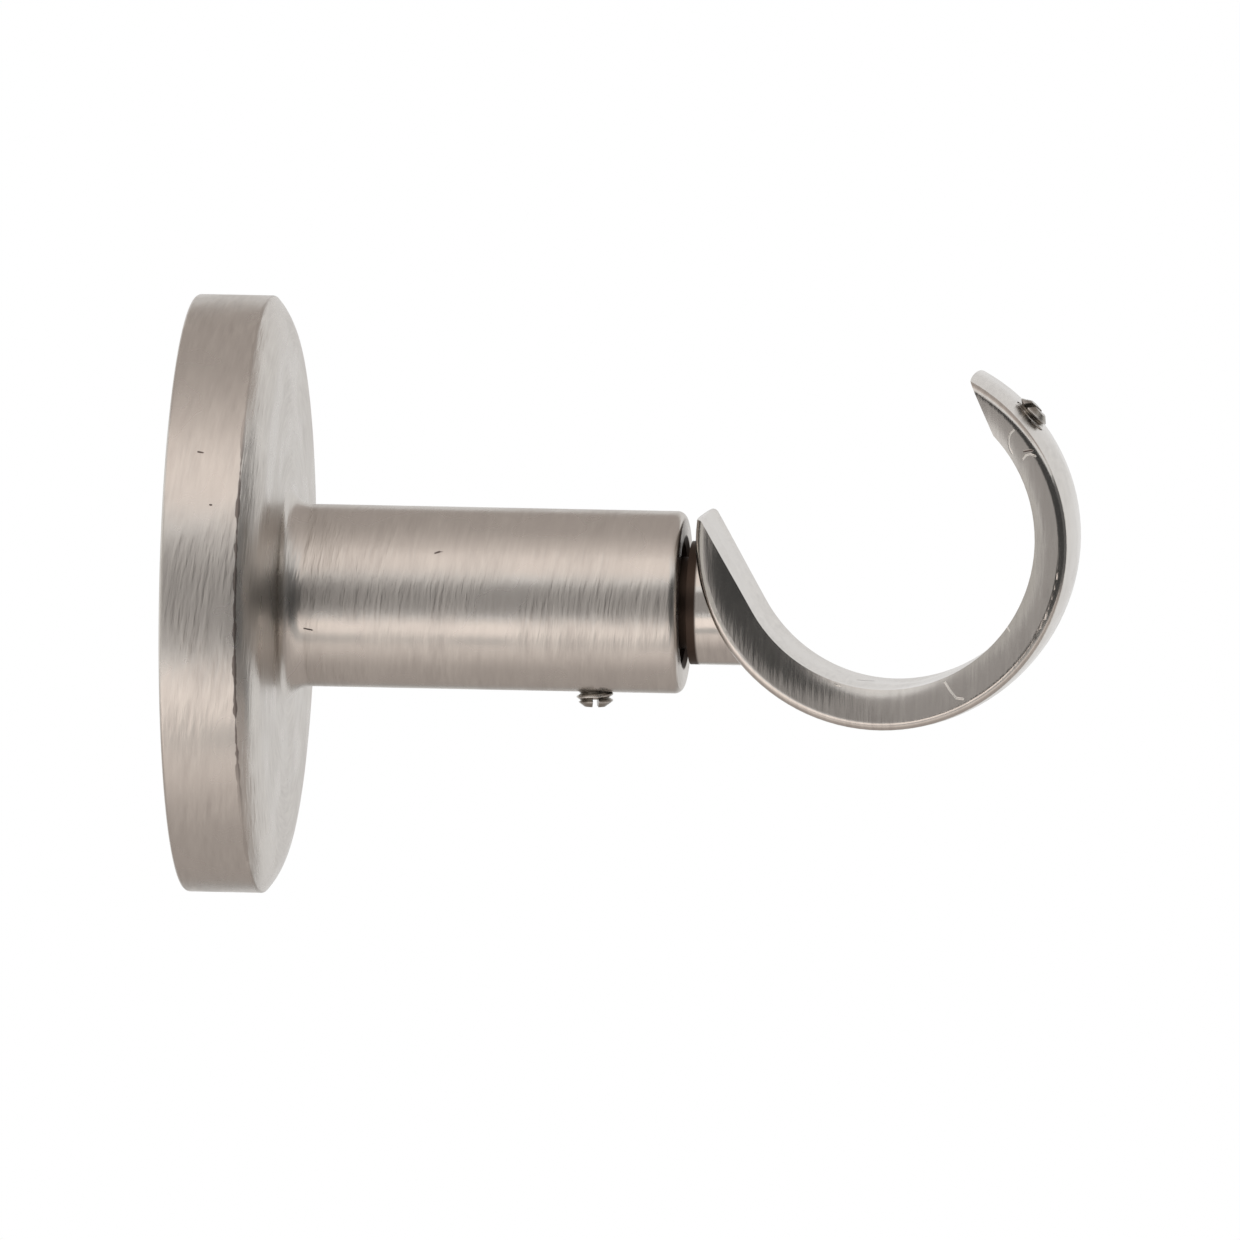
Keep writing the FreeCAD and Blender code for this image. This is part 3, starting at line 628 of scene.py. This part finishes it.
def soft_lamp(name, azimuth, elevation, away, width, height, level, colour):
    """A flat lamp whose face is as bright as the level says."""
    data = bpy.data.lights.new(name, "AREA")
    data.shape = "RECTANGLE"
    data.size, data.size_y = width, height
    data.energy = level * math.pi * width * height
    data.color = colour
    lamp = new_object(name, data, facing(azimuth, elevation, away))
    lamp.visible_glossy = False


def card(name, azimuth, elevation, away, width, height, tones, tint=(1, 1, 1)):
    """A flat card, of one tone below and another above, which the metal reflects and no camera sees."""
    mesh = bmesh.new()
    bmesh.ops.create_grid(mesh, x_segments=1, y_segments=1, size=0.5,
                          matrix=Matrix.Diagonal((width, height, 1, 1)))
    data = mesh_from(name, mesh)
    made = new_object(name, data, facing(azimuth, elevation, away))
    paint = bpy.data.materials.new(name)
    paint.use_nodes = True
    paint.node_tree.nodes.clear()
    upward = node(paint.node_tree, "SeparateXYZ", {0: object_spot(paint.node_tree)}).outputs[1]
    tone = ramp(paint.node_tree, upward, -height / 2, height / 2, *tones)
    glow = node(paint.node_tree, "Emission", {0: (*tint, 1), 1: tone})
    end = node(paint.node_tree, "OutputMaterial")
    paint.node_tree.links.new(glow.outputs[0], end.inputs[0])
    data.materials.append(paint)
    made.visible_camera = False
    made.visible_diffuse = False
    made.visible_shadow = False


WARM = (1.0, 0.905, 0.85)
soft_lamp("Key lamp", -25, 48, 1.6, 1.6, 0.9, 1.05, WARM)
card("Upper panel", -25, 49, 1.6, 2.2, 0.8, (1.1, 1.1), WARM)
card("Front ceiling panel", 0, 80, 1.8, 5.0, 1.18, (0.82, 0.52), WARM)
card("Back ceiling panel", 0, 124, 1.8, 5.0, 1.9, (0.5, 0.5), WARM)
card("Lower panel", -25, -41.5, 0.7, 1.3, 0.4, (1.32, 1.32), WARM)
card("Front ground panel", 0, -73, 0.47, 2.6, 0.3, (0.54, 0.93), WARM)
card("Back ground panel", 0, -117, 0.42, 2.6, 0.42, (0.5, 0.5), WARM)
card("Front card", -11, 4, 1.3, 0.6, 0.96, (0.42, 0.42), (1, 0.96, 0.94))
card("Left front card", -48, 5, 1.3, 1.1, 1.2, (0.6, 0.6), (1, 0.98, 0.94))
card("Right front card", 38, -2, 1.2, 2.1, 1.5, (0.07, 0.07))
card("Right side card", 100, 0, 1.2, 1.1, 0.9, (0.15, 0.15))

# Camera
# A long lens, square on to the bracket, a little above it and to the right.
camera_data = bpy.data.cameras.new("Camera")
camera = bpy.data.objects.new("Camera", camera_data)
bpy.context.scene.collection.objects.link(camera)
bpy.context.scene.camera = camera
AZIMUTH, ELEVATION, ROLL = 6.0, 4.7, 0.65
DISTANCE = 5.0
PICTURE_WIDTH = 0.1244
AIM = Vector((0.0432, 0.0, -0.0019))
camera_data.sensor_width = 36
camera_data.lens = camera_data.sensor_width * DISTANCE / PICTURE_WIDTH
back = direction_of(AZIMUTH, ELEVATION)
camera.location = AIM + back * DISTANCE
camera.rotation_mode = "QUATERNION"
camera.rotation_quaternion = ((-back).to_track_quat("-Z", "Y")
                              @ Matrix.Rotation(math.radians(ROLL), 3, "Z").to_quaternion())
